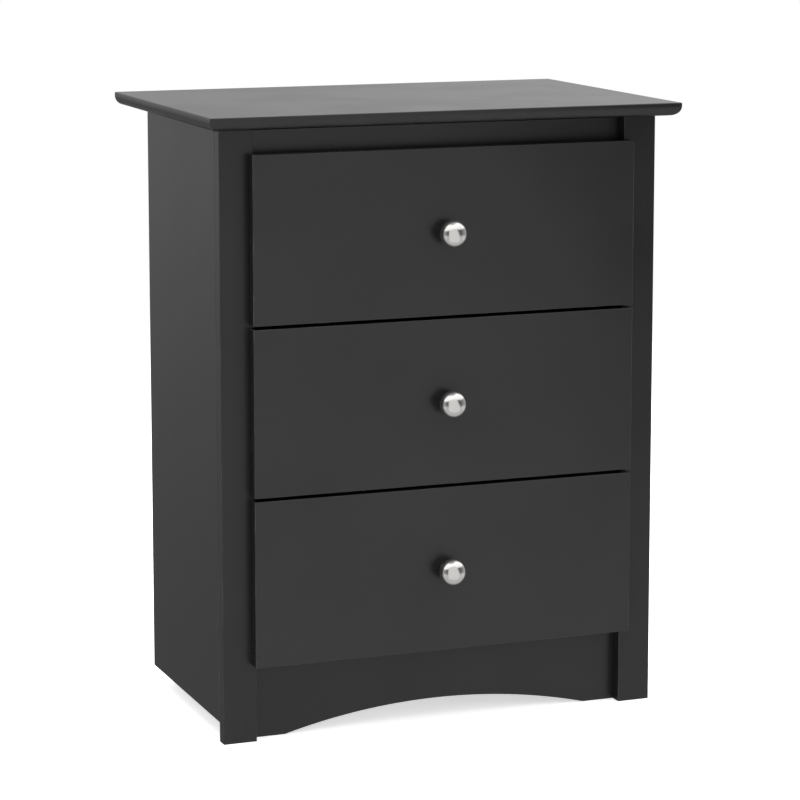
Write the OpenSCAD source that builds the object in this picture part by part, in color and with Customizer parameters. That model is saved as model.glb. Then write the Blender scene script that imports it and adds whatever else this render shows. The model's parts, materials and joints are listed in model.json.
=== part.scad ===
// Nightstand with three drawers, of laminated board, with a milled top, an arched
// kick board, turned metal knobs and roller drawer runners. Millimetres, +Z up,
// the front faces -Y, and the origin is at the bottom centre of the whole piece.

/* [Case] */
// Width over the outer faces of the two sides
case_w = 550; // [520:1:640]
// Height from the floor to the upper face of the top
case_h = 740; // [734:1:800]
// Depth from the front faces of the stiles to the back edges of the sides
case_d = 287; // [285:1:340]
// Thickness of the laminated board
board_t = 16; // [15:0.5:18]
// Height of the lower edges of the sides above the floor
side_lift = 23; // [15:1:27]
// Height of the front and rear top rails
rail_h = 60; // [50:1:68]

/* [Top] */
// How far the top stands out past each side
top_side_over = 20; // [14:1:35]
// How far the top stands out past the stiles
top_front_over = 32; // [14:1:38]
// How far the top stands out past the back edges of the sides
top_back_over = 75; // [0:1:80]
// Radius of the large round under the top's edge
top_under_r = 12; // [6:0.5:13]
// Radius of the small round over the top's edge
top_over_r = 1.5; // [1:0.5:2]

/* [Front frame] */
// Width of each stile
stile_w = 41; // [40:1:46]
// Height of the kick board
kick_h = 107; // [100:1:107]
// Rise of the arch at its middle
arch_rise = 25; // [12:1:28]
// Length of the flat foot between each stile and the arch
foot_run = 40; // [25:1:60]

/* [Drawers] */
// Height of the lowest drawer front above the floor
fronts_from = 93; // [93:1:96]
// Height left free between the topmost front and the top
top_reveal = 29; // [27:1:34]
// Gap between two drawer fronts
front_gap = 4; // [3:0.5:6]
// How far each drawer front laps over a stile
front_lap = 6; // [4:1:10]
// Height of the drawer boxes
box_h = 120; // [100:1:124]
// Thickness of the boards of the drawer boxes
box_t = 12; // [12:0.5:13]

/* [Knobs] */
// Diameter of a knob's cap
knob_d = 32; // [26:1:36]
// How far a knob stands out from its drawer front
knob_out = 31; // [28:1:34]

/* [Runners] */
// Length of the cabinet runners
runner_l = 250; // [248:1:250]
// Diameter of the runner rollers
roller_d = 20; // [18:0.5:20]

/* [Hidden] */
DRAWERS = ["top_drawer", "middle_drawer", "bottom_drawer"];
SIDES = ["left", "right"];
CASE_NODES = [
    "top_panel", "left_side_panel", "right_side_panel", "left_front_stile",
    "right_front_stile", "top_front_rail", "kick_board", "bottom_panel", "back_panel",
    "rear_top_rail", "left_runner_cleats", "right_runner_cleats",
    "left_cabinet_runners", "right_cabinet_runners", "rear_feet", "foot_screws",
    "cam_locks", "cam_bolts", "dowels", "runner_screws", "back_panel_nails"
];
DRAWER_NODES = [
    "front", "left_side", "right_side", "back", "bottom", "knob", "fixings",
    "left_runner", "right_runner", "left_roller", "right_roller",
    "left_cabinet_roller", "right_cabinet_roller"
];

$fn = 48;
over = 1;               // how far a cut runs past the face that it opens
slack = 0.05;           // running and seating clearance, on the radius

// Case
half_w = case_w / 2;
inner_x = half_w - board_t;
under_top = case_h - board_t;
stile_x = half_w - stile_w;
hardboard_t = 3;
back_y = case_d - hardboard_t;
rabbet_w = 6;
frame_y = board_t;      // back faces of the stiles
panel_y = 2 * board_t;  // back faces of the kick board and the front rail
bottom_z = 30;
rear_rail_y = back_y - board_t;
arch_half = stile_x - foot_run;
arch_r = (arch_half * arch_half + arch_rise * arch_rise) / (2 * arch_rise);

// Drawer fronts
front_h = (under_top - top_reveal - fronts_from - 2 * front_gap) / 3;
front_half = stile_x + front_lap;
front_back_y = -0.5;
front_face_y = front_back_y - board_t;
box_lift = 24;          // drawer box above the lower edge of its front

// Runners, measured out from the inner edge of the stile
steel_t = 1.2;
channel_h = 28.2;
channel_w = 10;
channel_x = stile_x;
cleat_h = 40;
cleat_end = frame_y + runner_l + 2;
runner_y = frame_y + 2;
top_flange_from = 50;
roller_r = roller_d / 2;
roller_w = 6.4;
roller_gap = 0.3;
roller_x = channel_x - 3;
axle_r = 2.5;
axle_head_r = 4;
axle_head_t = 0.9;
axle_shoulder = 2.2;    // from inside the web to the roller
axle_root = 0.5;        // how deep the axle starts inside the web
cabinet_axle_l = 9.8;
drawer_axle_l = 9.9;
roller_hub_r = 5;
roller_tread_r = 8;     // inner radius of the tread
roller_dish = 1;        // how deep the web between hub and tread lies
roller_edge = 0.7;
cleat_below = 4;        // cleat below its runner
slide_from = 3;         // front end of the drawer runner
axle_up = steel_t + roller_gap + roller_r;
front_axle_y = 30;
rear_axle_y = 240;
slide_x = channel_x - 11.3;   // outer face of the drawer runner's web
slide_flange_x = channel_x - 2.7;
slide_up = 3.8;
slide_top = axle_up + roller_r + roller_gap + steel_t;

// Drawer boxes
box_x = slide_x - steel_t;
box_in_x = box_x - box_t;
box_back_y = 250;
box_up = slide_up + steel_t;
groove_up = 10;
groove_h = hardboard_t + 0.2;
groove_depth = 5;

// Knob
knob_base_r = 9;
knob_neck_r = 6.5;
knob_bore_r = 2.05;

// Fasteners
bolt_r = 2.5;
bolt_into = 11;
bolt_head_r = 3;
bolt_neck_r = 1.8;
cam_reach = 24;         // from a cam's centre to the face that it pulls on
cam_r = 7.5;            // in the case's boards
box_cam_r = 6;          // in the boards of the drawer boxes
cam_past_bolt = 4;      // how far a cam reaches past its bolt's axis
cam_sunk = 0.2;         // how far its face lies below the board's face
cam_mouth_r = 3.2;
cam_socket_r = 2.6;
cam_socket_l = 2.2;
side_cam_y = [70, 230];
kick_cam_z = 75;
rail_cam_down = 34;     // below the top
box_cam_up = [35, 90];  // above the lower edge of the drawer box
dowel_side_z = [120, 300, 480, 650];
dowel_kick_z = [25, 95];
dowel_rail_down = 12;   // below the top
dowel_inward = 13;      // from the side's inner face
dowel_r = 4;
dowel_in_front = 10;
dowel_in_back = 20;
screw_r = 2;
screw_head_r = 3.4;
screw_head_h = 2;
screw_l = 35;
small_screw_r = 1.5;
small_screw_head_r = 2.6;
small_screw_head_h = 1.4;
small_screw_l = 16;
foot_screw_l = 31;
foot_screw_head_r = 4;
knob_screw_head_r = 4;
knob_screw_head_h = 2.2;
knob_screw_in = 8;      // how far the knob's screw reaches into the knob
nail_r = 0.9;
nail_l = 17;
nail_head_r = 2;
nail_head_h = 0.8;
foot_r = 20;
foot_x = inner_x - 60;
foot_y = 250;
foot_edge = 1.5;
foot_base_h = 5;
foot_bore_r = 5;
foot_bore_h = 11;

// The whole piece is centred over its footprint, knobs and top together
y_front = min(front_face_y - knob_out, -top_front_over);
y_back = case_d + top_back_over;
y_shift = -(y_front + y_back) / 2;

BOARD = [0.19, 0.185, 0.19];
BOX_BOARD = [0.72, 0.66, 0.56];
HARDBOARD = [0.42, 0.3, 0.2];
STEEL = [0.86, 0.86, 0.84];
NICKEL = [0.75, 0.74, 0.72];
ZINC = [0.62, 0.63, 0.65];
NYLON = [0.93, 0.93, 0.9];
BLACK_PLASTIC = [0.08, 0.08, 0.08];
BEECH = [0.78, 0.6, 0.4];

function front_z(level) = fronts_from + (2 - level) * (front_h + front_gap);
function box_z(level) = front_z(level) + box_lift;
function runner_z(level) = box_z(level) - box_up;
function axle_z(level) = runner_z(level) + axle_up;
function knob_z(level) = front_z(level) + front_h / 2;

// ---- General helpers ----

module placed() translate([0, y_shift, 0]) children();

module block(low, high) translate(low) cube(high - low);

// What is drawn for the left side, or its mirror image for the right
module on_side(side) mirror([side == "right" ? 1 : 0, 0, 0]) children();

// A round bar from one point along a row axis: dir is "x", "-x", "y", "-y", "z" or "-z"
module rod(from, dir, r, l, r2 = undef)
    translate(from)
        rotate(dir == "x" ? [0, 90, 0] : dir == "-x" ? [0, -90, 0] :
               dir == "y" ? [-90, 0, 0] : dir == "-y" ? [90, 0, 0] :
               dir == "-z" ? [180, 0, 0] : [0, 0, 0])
            cylinder(r1 = r, r2 = is_undef(r2) ? r : r2, h = l);

function vec(dir) =
    dir == "x" ? [1, 0, 0] : dir == "-x" ? [-1, 0, 0] :
    dir == "y" ? [0, 1, 0] : dir == "-y" ? [0, -1, 0] :
    dir == "-z" ? [0, 0, -1] : [0, 0, 1];

// ---- Cam fittings: [cam's centre on its face, outward normal, bolt direction] ----

case_cams = [
    // side panels to the top
    for (y = side_cam_y) [[-inner_x, y, under_top - cam_reach], "x", "z"],
    // bottom panel to the side panels
    for (y = side_cam_y) [[cam_reach - inner_x, y, bottom_z], "-z", "-x"],
    // kick board and front rail to the side panels
    for (z = [kick_cam_z, under_top - rail_cam_down])
        [[cam_reach - inner_x, panel_y, z], "y", "-x"],
    // rear rail to the side panels
    [[cam_reach - inner_x, rear_rail_y, under_top - rail_cam_down], "-y", "-x"]
];

function drawer_cams(level) = [
    for (up = box_cam_up)
        [[-box_in_x, front_back_y + cam_reach, box_z(level) + up], "x", "-y"]
];

function bolt_axis(cam, t) = cam[0] - vec(cam[1]) * t / 2;

module cam_body(cam, t, grow = 0) {
    r = t == box_t ? box_cam_r : cam_r;
    depth = t / 2 + cam_past_bolt;
    rod(cam[0] - vec(cam[1]) * depth, cam[1], r + grow, depth + (grow > 0 ? over : -cam_sunk));
}

// A cam: a zinc drum with an open mouth for the bolt's head and a cross recess
module cam_lock(cam, t) difference() {
    cam_body(cam, t);
    rod(bolt_axis(cam, t) + vec(cam[2]), cam[2], cam_mouth_r, cam_reach);
    rod(cam[0] - vec(cam[1]) * cam_socket_l, cam[1], cam_socket_r, cam_socket_l + over);
}

// A cam bolt: head inside the cam, shank to the joint face, thread in the next board
module cam_bolt(cam, t) {
    start = bolt_axis(cam, t);
    rod(start + vec(cam[2]) * 2, cam[2], bolt_head_r, 2.5);
    rod(start + vec(cam[2]) * 4, cam[2], bolt_neck_r, cam_reach - 3);
    rod(start + vec(cam[2]) * cam_reach, cam[2], bolt_r, bolt_into - 0.5);
}

// Bores for one fitting, cut from both boards at once
module cam_bores(cam, t) {
    cam_body(cam, t, slack);
    rod(bolt_axis(cam, t), cam[2], cam_mouth_r, cam_reach);
    rod(bolt_axis(cam, t), cam[2], bolt_r + slack, cam_reach + bolt_into);
}

module case_cam_bores() for (side = SIDES) on_side(side)
    for (cam = case_cams) cam_bores(cam, board_t);

// ---- Dowels along Y: [x, z] of each, on the left ----

stile_dowels = [for (z = dowel_side_z) [-(half_w - board_t / 2), z]];
board_dowels = [for (z = concat(dowel_kick_z, under_top - dowel_rail_down))
    [dowel_inward - inner_x, z]];

module dowel_set(grow) for (side = SIDES) on_side(side) {
    for (d = stile_dowels)
        rod([d[0], frame_y - dowel_in_front, d[1]], "y", dowel_r + grow,
            dowel_in_front + dowel_in_back);
    for (d = board_dowels)
        rod([d[0], frame_y - dowel_in_front, d[1]], "y", dowel_r + grow,
            2 * dowel_in_front);
}

// ---- Case ----

// Waste outside a round of radius r at the corner at the origin
module round_waste(r) difference() {
    translate([-over, -over]) square(r + over);
    translate([r, r]) circle(r);
}

// Cross-section of the top; the far edge is square unless both edges are milled
module top_section(l, both) difference() {
    square([l, board_t]);
    round_waste(top_under_r);
    translate([0, board_t]) mirror([0, 1]) round_waste(top_over_r);
    if (both) translate([l, 0]) mirror([1, 0]) {
        round_waste(top_under_r);
        translate([0, board_t]) mirror([0, 1]) round_waste(top_over_r);
    }
}

module top_panel() color(BOARD) placed() difference() {
    top_w = case_w + 2 * top_side_over;
    top_d = y_back + top_front_over;
    intersection() {
        translate([-top_w / 2, y_back, under_top]) rotate([90, 0, 0])
            linear_extrude(top_d) top_section(top_w, true);
        translate([-top_w / 2, -top_front_over, under_top]) rotate([90, 0, 90])
            linear_extrude(top_w) top_section(top_d, false);
    }
    case_cam_bores();
}

module side_panel(side) color(BOARD) placed() difference() {
    on_side(side) difference() {
        block([-half_w, frame_y, side_lift], [-inner_x, case_d, under_top]);
        block([-inner_x - rabbet_w, back_y, side_lift - over],
              [-inner_x + over, case_d + over, under_top + over]);
        for (level = [0:2]) for (y = runner_screw_y) runner_screw(level, y, slack);
        for (z = side_nail_z) nail([-(inner_x + rabbet_w / 2), z], slack);
    }
    case_cam_bores();
    dowel_set(slack);
}

module front_stile(side) color(BOARD) placed() difference() {
    on_side(side) block([-half_w, 0, 0], [-stile_x, frame_y, under_top]);
    dowel_set(slack);
}

module top_front_rail() color(BOARD) placed() difference() {
    block([-inner_x, frame_y, under_top - rail_h], [inner_x, panel_y, under_top]);
    case_cam_bores();
    dowel_set(slack);
}

module kick_board() color(BOARD) placed() difference() {
    block([-inner_x, frame_y, 0], [inner_x, panel_y, kick_h]);
    translate([0, frame_y - over, arch_rise - arch_r]) rotate([-90, 0, 0])
        cylinder(r = arch_r, h = board_t + 2 * over, $fn = 360);
    case_cam_bores();
    dowel_set(slack);
}

module bottom_panel() color(BOARD) placed() difference() {
    block([-inner_x, panel_y, bottom_z], [inner_x, back_y, bottom_z + board_t]);
    case_cam_bores();
    for (side = SIDES) on_side(side) foot_screw(slack);
    for (x = rail_nail_x) nail([x, bottom_z + board_t / 2], slack);
}

module rear_top_rail() color(BOARD) placed() difference() {
    block([-inner_x, rear_rail_y, under_top - rail_h], [inner_x, back_y, under_top]);
    case_cam_bores();
    for (x = rail_nail_x) nail([x, under_top - board_t / 2], slack);
}

module back_panel() color(HARDBOARD) placed() difference() {
    block([-inner_x - rabbet_w + 0.5, back_y, bottom_z + 1],
          [inner_x + rabbet_w - 0.5, case_d, under_top - 1]);
    all_nails(slack);
}

module rear_feet() color(BLACK_PLASTIC) placed() for (side = SIDES) on_side(side)
    difference() {
        translate([-foot_x, foot_y, 0]) rotate_extrude() polygon([
            [0, 0], [foot_r - foot_edge, 0], [foot_r, foot_edge], [foot_r, foot_base_h],
            [foot_r - 4, foot_base_h + 4], [foot_r - 5, bottom_z - 3],
            [foot_r - 2, bottom_z], [0, bottom_z]
        ]);
        foot_screw(slack);
        rod([-foot_x, foot_y, -over], "z", foot_bore_r, foot_bore_h + over);
    }

// ---- Runners ----

runner_screw_y = [52, 150, 256];

module runner_cleats(side) color(BEECH) placed() on_side(side)
    for (level = [0:2]) difference() {
        block([-inner_x, frame_y, runner_z(level) - cleat_below],
              [-channel_x, cleat_end, runner_z(level) - cleat_below + cleat_h]);
        for (y = runner_screw_y) runner_screw(level, y, slack);
    }

// A riveted roller axle with its shoulder and its head, from a web's face along dir
module axle(from, dir, reach) {
    rod(from, dir, axle_r, reach);
    rod(from, dir, axle_head_r, axle_shoulder);
    rod(from + vec(dir) * (reach - axle_head_t), dir, axle_head_r, axle_head_t);
}

module cabinet_runner(level) {
    z = runner_z(level);
    difference() {
        union() {
            block([-channel_x, runner_y, z],
                  [steel_t - channel_x, runner_y + runner_l, z + channel_h]);
            block([-channel_x, runner_y, z],
                  [channel_w - channel_x, runner_y + runner_l, z + steel_t]);
            block([-channel_x, top_flange_from, z + channel_h - steel_t],
                  [channel_w - channel_x, runner_y + runner_l, z + channel_h]);
            axle([steel_t - axle_root - channel_x, front_axle_y, axle_z(level)], "x",
                 cabinet_axle_l);
        }
        for (y = runner_screw_y) runner_screw(level, y, slack);
    }
}

module cabinet_runners(side) color(STEEL) placed() on_side(side)
    for (level = [0:2]) cabinet_runner(level);

module drawer_runner(level, side) color(STEEL) placed() on_side(side) {
    z = runner_z(level);
    difference() {
        union() {
            block([-slide_x, slide_from, z + slide_up],
                  [steel_t - slide_x, box_back_y, z + slide_top]);
            block([-slide_flange_x, slide_from, z + slide_top - steel_t],
                  [steel_t - slide_x, box_back_y, z + slide_top]);
            block([-slide_x, slide_from, z + slide_up],
                  [-box_in_x - 0.5, box_back_y, z + slide_up + steel_t]);
            axle([axle_root - slide_x, rear_axle_y, axle_z(level)], "-x", drawer_axle_l);
        }
        for (y = slide_screw_y) slide_screw(level, y, slack);
    }
}

// A nylon roller: rounded tread, thinner web and a hub that runs on the axle
module roller(level, side, y) color(NYLON) placed() on_side(side)
    translate([-roller_x, y, axle_z(level)]) rotate([0, 90, 0]) rotate_extrude() polygon([
        [axle_r + slack, 0], [roller_hub_r, 0], [roller_hub_r, roller_dish],
        [roller_tread_r, roller_dish], [roller_tread_r, 0], [roller_r - roller_edge, 0],
        [roller_r, roller_edge], [roller_r, roller_w - roller_edge],
        [roller_r - roller_edge, roller_w], [roller_tread_r, roller_w],
        [roller_tread_r, roller_w - roller_dish], [roller_hub_r, roller_w - roller_dish],
        [roller_hub_r, roller_w], [axle_r + slack, roller_w]
    ]);

// ---- Drawers ----

slide_screw_y = [40, 200];
box_screw_up = [45, 95];

module drawer_front(level) color(BOARD) placed() difference() {
    block([-front_half, front_face_y, front_z(level)],
          [front_half, front_back_y, front_z(level) + front_h]);
    block([-box_in_x - groove_depth, front_back_y - groove_depth - 1, box_z(level) + groove_up],
          [box_in_x + groove_depth, front_back_y + over, box_z(level) + groove_up + groove_h]);
    for (side = SIDES) on_side(side)
        for (cam = drawer_cams(level)) cam_bores(cam, box_t);
    rod([0, front_face_y - over, knob_z(level)], "y", screw_r + 0.3, board_t + 2 * over);
}

module drawer_side(level, side) color(BOX_BOARD) placed() on_side(side) difference() {
    block([-box_x, front_back_y, box_z(level)], [-box_in_x, box_back_y, box_z(level) + box_h]);
    block([-box_in_x - groove_depth, front_back_y - over, box_z(level) + groove_up],
          [-box_in_x + over, box_back_y + over, box_z(level) + groove_up + groove_h]);
    for (cam = drawer_cams(level)) cam_bores(cam, box_t);
    for (up = box_screw_up) box_screw(level, up, slack);
    for (y = slide_screw_y) slide_screw(level, y, slack);
}

module drawer_back(level) color(BOX_BOARD) placed() difference() {
    block([-box_in_x, box_back_y - box_t, box_z(level) + groove_up + groove_h],
          [box_in_x, box_back_y, box_z(level) + box_h]);
    for (side = SIDES) on_side(side) for (up = box_screw_up) box_screw(level, up, slack);
}

module drawer_bottom(level) color(HARDBOARD) placed()
    block([-box_in_x - groove_depth + 0.5, front_back_y - groove_depth,
           box_z(level) + groove_up + 0.1],
          [box_in_x + groove_depth - 0.5, box_back_y,
           box_z(level) + groove_up + 0.1 + hardboard_t]);

// Turned knob: base, waisted neck and a round cap with a narrow band at its widest
knob_rim = knob_d / 2;
cap_from = knob_out - 14;
dome_h = 11;
dome_from = knob_out - dome_h;
knob_base_t = 1.2;
flare_r = 2.5;          // fillet between base and neck
under_h = 7;            // height of the round under the cap
knob_thread_l = 10;
knob_outline = concat(
    [[0, 0], [knob_base_r, 0], [knob_base_r, knob_base_t]],
    [for (a = [0:15:90]) [knob_neck_r + flare_r * (1 - sin(a)),
                          knob_base_t + flare_r * (1 - cos(a))]],
    [for (a = [0:15:90]) [knob_neck_r + (knob_rim - knob_neck_r) * sin(a),
                          cap_from - under_h * cos(a)]],
    [for (a = [0:10:90]) [knob_rim * cos(a), dome_from + dome_h * sin(a)]]
);

module drawer_knob(level) color(NICKEL) placed() difference() {
    translate([0, front_face_y, knob_z(level)]) rotate([90, 0, 0])
        rotate_extrude($fn = 64) polygon(knob_outline);
    rod([0, front_face_y + over, knob_z(level)], "-y", knob_bore_r, knob_thread_l + over);
}

// ---- Fasteners ----

// Countersunk screw through a cabinet runner and its cleat into the side panel
module runner_screw(level, y, grow = 0) {
    at = [steel_t - channel_x, y, runner_z(level) + channel_h / 2];
    rod(at, "-x", screw_head_r + grow, screw_head_h, screw_r + grow);
    rod(at, "-x", screw_r + grow, screw_l + grow);
}

// Countersunk screw up through the drawer runner into the drawer side
module slide_screw(level, y, grow = 0) {
    at = [-box_x + 4, y, runner_z(level) + slide_up];
    rod(at, "z", small_screw_head_r + grow, small_screw_head_h, small_screw_r + grow);
    rod(at, "z", small_screw_r + grow, small_screw_l + grow);
}

// Countersunk screw through the drawer side into the end of the drawer back
module box_screw(level, up, grow = 0) {
    at = [-box_x, box_back_y - box_t / 2, box_z(level) + up];
    rod(at, "x", screw_head_r + grow, screw_head_h, screw_r + grow);
    rod(at, "x", screw_r + grow, screw_l + grow);
}

module foot_screw(grow = 0) {
    rod([-foot_x, foot_y, foot_bore_h], "z", screw_r + grow, foot_screw_l + grow);
    if (grow == 0) rod([-foot_x, foot_y, foot_bore_h - 3], "z", foot_screw_head_r, 3);
}

side_nail_z = [for (i = [0:5]) 70 + i * (under_top - 110) / 5];
rail_nail_x = [for (i = [-2:2]) i * 100];

// Wire nail through the back panel, at [x, z]
module nail(at, grow = 0) {
    rod([at[0], case_d, at[1]], "-y", nail_r + grow, nail_l + grow);
    if (grow == 0) rod([at[0], case_d, at[1]], "y", nail_head_r, nail_head_h);
}

module all_nails(grow) {
    for (side = SIDES) on_side(side)
        for (z = side_nail_z) nail([-(inner_x + rabbet_w / 2), z], grow);
    for (x = rail_nail_x) for (z = [bottom_z + board_t / 2, under_top - board_t / 2])
        nail([x, z], grow);
}

module cam_locks() color(ZINC) placed() for (side = SIDES) on_side(side)
    for (cam = case_cams) cam_lock(cam, board_t);

module cam_bolts() color(ZINC) placed() for (side = SIDES) on_side(side)
    for (cam = case_cams) cam_bolt(cam, board_t);

module dowels() color(BEECH) placed() dowel_set(0);

module runner_screws() color(ZINC) placed() for (side = SIDES) on_side(side)
    for (level = [0:2]) for (y = runner_screw_y) runner_screw(level, y);

module foot_screws() color(ZINC) placed() for (side = SIDES) on_side(side) foot_screw();

module back_panel_nails() color(ZINC) placed() all_nails(0);

// Everything that holds one drawer together: cams, cam bolts, screws and the knob's screw
module drawer_fixings(level) color(ZINC) placed() {
    for (side = SIDES) on_side(side) {
        for (cam = drawer_cams(level)) {
            cam_lock(cam, box_t);
            cam_bolt(cam, box_t);
        }
        for (up = box_screw_up) box_screw(level, up);
        for (y = slide_screw_y) slide_screw(level, y);
    }
    rod([0, front_back_y, knob_z(level)], "-y", screw_r, board_t + knob_screw_in);
    rod([0, front_back_y, knob_z(level)], "y", knob_screw_head_r, knob_screw_head_h);
}

top_panel();
side_panel("left");  // left_side_panel
side_panel("right");  // right_side_panel
front_stile("left");  // left_front_stile
front_stile("right");  // right_front_stile
top_front_rail();
kick_board();
bottom_panel();
back_panel();
rear_top_rail();
runner_cleats("left");  // left_runner_cleats
runner_cleats("right");  // right_runner_cleats
cabinet_runners("left");  // left_cabinet_runners
cabinet_runners("right");  // right_cabinet_runners
rear_feet();
foot_screws();
cam_locks();
cam_bolts();
dowels();
runner_screws();
back_panel_nails();
for (level = [0:2]) {
    d = DRAWERS[level];
    drawer_front(level);
    drawer_back(level);
    drawer_bottom(level);
    drawer_knob(level);
    drawer_fixings(level);
    for (s = SIDES) {
        drawer_side(level, s);
        drawer_runner(level, s);
        roller(level, s, rear_axle_y);
        roller(level, s, front_axle_y);
    }
}
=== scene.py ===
# %% [markdown]
# # A nightstand with three drawers
# The real piece is a case of charcoal laminated board with a milled top, an arched kick
# board and three overlay drawers on roller runners. Its mechanics are finished: a CAD
# model fixes every size and every joint. This lesson builds the looks around it, piece
# by piece, the way the parts are made in a workshop: boards are cut, milled and banded,
# knobs are turned, runners are folded. Nothing is drawn that isn't really there.

# %% Load the CAD model as a fixed frame
import json
import math

import bmesh
import bpy
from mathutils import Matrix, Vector


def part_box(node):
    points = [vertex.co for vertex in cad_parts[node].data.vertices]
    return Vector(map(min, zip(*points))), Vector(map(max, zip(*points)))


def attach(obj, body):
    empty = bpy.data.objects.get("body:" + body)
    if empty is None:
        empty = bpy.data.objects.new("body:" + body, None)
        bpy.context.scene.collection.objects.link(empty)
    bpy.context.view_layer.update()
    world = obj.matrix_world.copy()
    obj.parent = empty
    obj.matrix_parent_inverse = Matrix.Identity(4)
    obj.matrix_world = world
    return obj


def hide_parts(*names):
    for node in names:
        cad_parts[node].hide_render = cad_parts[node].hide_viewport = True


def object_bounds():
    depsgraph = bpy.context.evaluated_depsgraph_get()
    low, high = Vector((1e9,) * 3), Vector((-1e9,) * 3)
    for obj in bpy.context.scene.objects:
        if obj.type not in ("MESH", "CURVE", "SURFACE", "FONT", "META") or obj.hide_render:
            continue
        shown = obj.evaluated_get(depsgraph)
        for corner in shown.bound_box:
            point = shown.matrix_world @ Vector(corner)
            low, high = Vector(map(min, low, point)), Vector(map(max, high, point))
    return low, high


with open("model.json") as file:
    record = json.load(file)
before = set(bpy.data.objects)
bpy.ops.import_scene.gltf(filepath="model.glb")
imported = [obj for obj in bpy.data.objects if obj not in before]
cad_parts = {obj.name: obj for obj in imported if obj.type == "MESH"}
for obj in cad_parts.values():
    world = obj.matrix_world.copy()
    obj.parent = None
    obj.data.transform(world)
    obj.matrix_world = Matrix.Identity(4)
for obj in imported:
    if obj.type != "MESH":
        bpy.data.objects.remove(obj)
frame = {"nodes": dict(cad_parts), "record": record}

MM = 0.001
DRAWERS = ("top_drawer", "middle_drawer", "bottom_drawer")
SIDES = ("left", "right")
cad_low, cad_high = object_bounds()
print("nodes", len(frame["nodes"]), "CAD size in mm",
      [round((high - low) / MM, 1) for low, high in zip(cad_low, cad_high)])

# %% [markdown]
# ## Camera
# A catalogue picture of furniture is taken with a long lens from a few metres away, so
# that upright edges stay nearly parallel. The camera stands to the left at about head
# height of a seated person and looks slightly down. A small vertical shift, as the
# sliding back of a view camera gives, saves some of that tilt, so the uprights lean less.

# %% Camera
CAMERA_AT = (-1.3167, -3.4419, 1.0493)
CAMERA_PITCH = 8.616
CAMERA_YAW = 21.032
LENS = 136.5
SHIFT_DOWN = -0.125


def studio_camera():
    """A long lens at the front left, level across, with a little vertical shift."""
    lens = bpy.data.cameras.new("studio_camera")
    lens.lens = LENS
    lens.sensor_width = 36
    lens.shift_y = SHIFT_DOWN
    lens.clip_end = 100
    camera = bpy.data.objects.new("studio_camera", lens)
    camera.location = CAMERA_AT
    camera.rotation_euler = (math.radians(90 - CAMERA_PITCH), 0, math.radians(-CAMERA_YAW))
    bpy.context.collection.objects.link(camera)
    bpy.context.scene.camera = camera
    return camera


camera = studio_camera()
print("lens", camera.data.lens, "mm, distance", round(camera.location.length, 2), "m")

# %% [markdown]
# ## Hands
# These few helpers are the moves that a person makes with the mouse: select one piece,
# open it in edit mode with some faces or edges picked, run an operator, leave. Faces are
# picked by their place and normal, edges by their middle and direction.

# %% Helpers for modelling by hand


def only(piece):
    """Selects this piece and nothing else."""
    bpy.ops.object.select_all(action="DESELECT")
    piece.select_set(True)
    bpy.context.view_layer.objects.active = piece


def pick_faces(piece, test):
    """Opens the piece in edit mode with the faces picked that pass test(centre, normal)."""
    only(piece)
    bpy.ops.object.mode_set(mode="EDIT")
    bpy.ops.mesh.select_mode(type="FACE")
    bpy.ops.mesh.select_all(action="DESELECT")
    mesh = bmesh.from_edit_mesh(piece.data)
    for face in mesh.faces:
        face.select_set(bool(test(face.calc_center_median(), face.normal)))
    bmesh.update_edit_mesh(piece.data)


def pick_edges(piece, test):
    """Opens the piece in edit mode with the sharp edges picked that pass the test."""
    only(piece)
    bpy.ops.object.mode_set(mode="EDIT")
    bpy.ops.mesh.select_mode(type="EDGE")
    bpy.ops.mesh.select_all(action="DESELECT")
    bpy.ops.mesh.edges_select_sharp(sharpness=math.radians(30))
    mesh = bmesh.from_edit_mesh(piece.data)
    for edge in [e for e in mesh.edges if e.select]:
        a, b = (v.co for v in edge.verts)
        if not test((a + b) / 2, (b - a).normalized()):
            edge.select_set(False)
    bmesh.update_edit_mesh(piece.data)


def leave():
    """Back to object mode."""
    bpy.ops.object.mode_set(mode="OBJECT")


def settle(piece):
    """Puts the piece's place into its mesh, so that its object sits at the origin."""
    only(piece)
    bpy.ops.object.transform_apply(location=True, rotation=True, scale=True)
    return piece


def board(name, low, high):
    """A squared blank from one corner to the other, ready to be milled."""
    low, high = Vector(low), Vector(high)
    bpy.ops.object.select_all(action="DESELECT")
    bpy.ops.mesh.primitive_cube_add(size=1, location=(low + high) / 2, scale=high - low)
    piece = bpy.context.active_object
    piece.name = piece.data.name = name
    return settle(piece)


def drum(centre, radius, length, axis, sides=48):
    """A cylinder along axis 0, 1 or 2, used as a drill or a router bit."""
    turn = {0: (0, math.pi / 2, 0), 1: (math.pi / 2, 0, 0), 2: (0, 0, 0)}[axis]
    bpy.ops.object.select_all(action="DESELECT")
    bpy.ops.mesh.primitive_cylinder_add(vertices=sides, radius=radius, depth=length,
                                        location=centre, rotation=turn)
    return settle(bpy.context.active_object)


def cut(piece, tool):
    """Takes the tool's shape out of the piece."""
    only(piece)
    saw = piece.modifiers.new("cut", "BOOLEAN")
    saw.object = tool
    saw.operation = "DIFFERENCE"
    saw.solver = "EXACT"
    bpy.ops.object.modifier_apply(modifier=saw.name)
    bpy.data.objects.remove(tool)


def ease(piece, width, steps=3, test=lambda middle, run: True):
    """Rounds the picked sharp edges over with a bevel."""
    pick_edges(piece, test)
    bpy.ops.mesh.bevel(offset=width, offset_type="OFFSET", segments=steps,
                       affect="EDGES", clamp_overlap=True)
    leave()


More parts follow.
